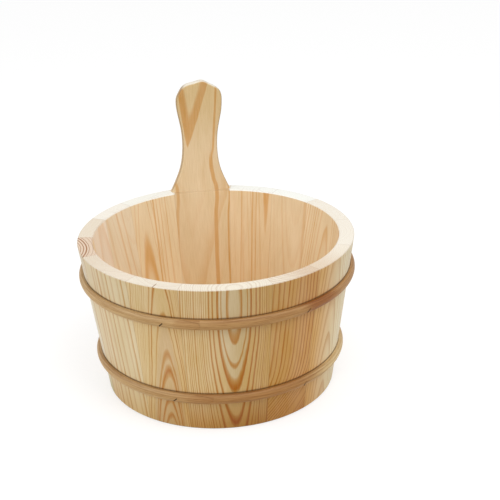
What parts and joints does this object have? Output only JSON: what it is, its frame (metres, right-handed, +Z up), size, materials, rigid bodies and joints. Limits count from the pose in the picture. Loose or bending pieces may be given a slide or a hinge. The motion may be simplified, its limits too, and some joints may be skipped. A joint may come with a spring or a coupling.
{
  "type": "wooden piggin",
  "caption": "Coopered pine tub with a flat bottom, two wooden hoops and one long stave that rises above the rim as a handle.",
  "frame": {"origin": "on the tub's axis, on the plane that the tub stands on", "axes": "+Z up along the tub's axis, +Y from the axis to the handle, +X to the right as seen from the front, facing the handle"},
  "size_m": [0.2616, 0.2754, 0.2589],
  "materials": {
    "stave_pine": "bare sanded pine with open grain",
    "hoop_wood": "bare bent wood strip, satin",
    "bottom_pine": "bare planed pine",
    "dowel_wood": "bare turned birch",
    "staple_wire": "dull flat wire"
  },
  "bodies": {
    "root": {"stave_01": "stave_pine", "stave_02": "stave_pine", "stave_03": "stave_pine", "stave_04": "stave_pine", "stave_05": "stave_pine", "stave_06": "stave_pine", "stave_07": "stave_pine", "stave_08": "stave_pine", "stave_09": "stave_pine", "stave_10": "stave_pine", "stave_11": "stave_pine", "stave_12": "stave_pine", "stave_13": "stave_pine", "handle_stave": "stave_pine", "upper_hoop": "hoop_wood", "lower_hoop": "hoop_wood", "upper_hoop_staples": "staple_wire", "lower_hoop_staples": "staple_wire", "bottom_board_1": "bottom_pine", "bottom_board_2": "bottom_pine", "bottom_board_3": "bottom_pine", "bottom_board_4": "bottom_pine", "bottom_dowels": "dowel_wood"}
  },
  "joints": []
}
